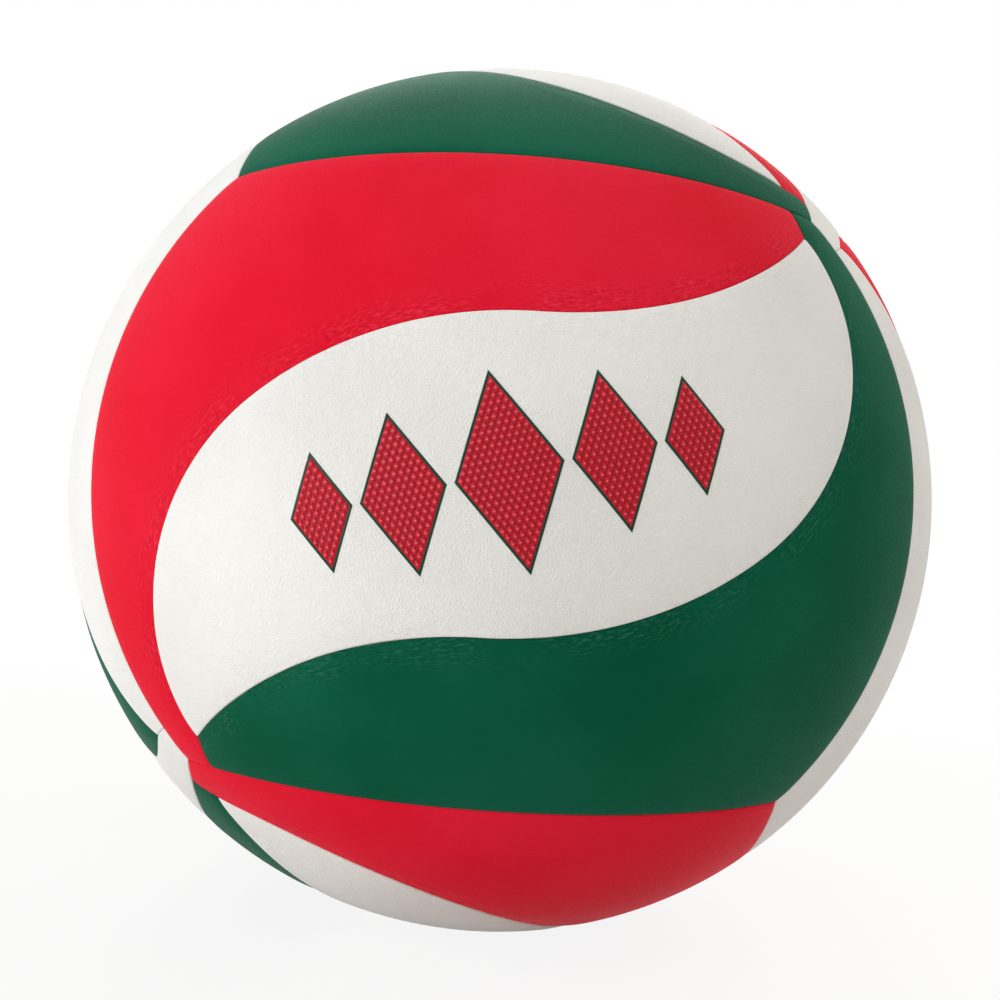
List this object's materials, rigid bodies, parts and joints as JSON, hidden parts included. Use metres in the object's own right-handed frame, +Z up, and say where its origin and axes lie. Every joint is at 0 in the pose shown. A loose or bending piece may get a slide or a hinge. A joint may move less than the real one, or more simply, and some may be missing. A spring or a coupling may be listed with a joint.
{
  "type": "volleyball",
  "caption": "Indoor volleyball with swirled leather panels in red, white and green over foam, rubber carcass and air bladder, with a needle valve in one panel.",
  "frame": {"origin": "centre of the ball", "axes": "+Z up, the front group of panels faces -Y, and the valve opens along +Y in the middle of the back group"},
  "size_m": [0.21, 0.2099, 0.21],
  "materials": {
    "leather_red": "satin",
    "leather_white": "satin",
    "leather_green": "satin",
    "foam": "matte",
    "carcass_rubber": "matte",
    "nylon_thread": "matte",
    "butyl_rubber": "matte",
    "valve_rubber": "matte",
    "core_rubber": "matte"
  },
  "bodies": {
    "root": {"front_left_skin": "leather_red", "front_middle_skin": "leather_white", "front_right_skin": "leather_green", "bottom_front_skin": "leather_red", "bottom_middle_skin": "leather_white", "bottom_back_skin": "leather_green", "left_bottom_skin": "leather_white", "left_middle_skin": "leather_green", "left_top_skin": "leather_white", "back_right_skin": "leather_green", "back_middle_skin": "leather_white", "back_left_skin": "leather_red", "top_back_skin": "leather_red", "top_middle_skin": "leather_white", "top_front_skin": "leather_green", "right_top_skin": "leather_white", "right_middle_skin": "leather_red", "right_bottom_skin": "leather_white", "front_left_pad": "foam", "front_middle_pad": "foam", "front_right_pad": "foam", "bottom_front_pad": "foam", "bottom_middle_pad": "foam", "bottom_back_pad": "foam", "left_bottom_pad": "foam", "left_middle_pad": "foam", "left_top_pad": "foam", "back_right_pad": "foam", "back_middle_pad": "foam", "back_left_pad": "foam", "top_back_pad": "foam", "top_middle_pad": "foam", "top_front_pad": "foam", "right_top_pad": "foam", "right_middle_pad": "foam", "right_bottom_pad": "foam", "carcass": "carcass_rubber", "thread_winding": "nylon_thread", "bladder": "butyl_rubber", "valve_body": "valve_rubber", "valve_core": "core_rubber", "balance_patch": "butyl_rubber"}
  },
  "joints": []
}
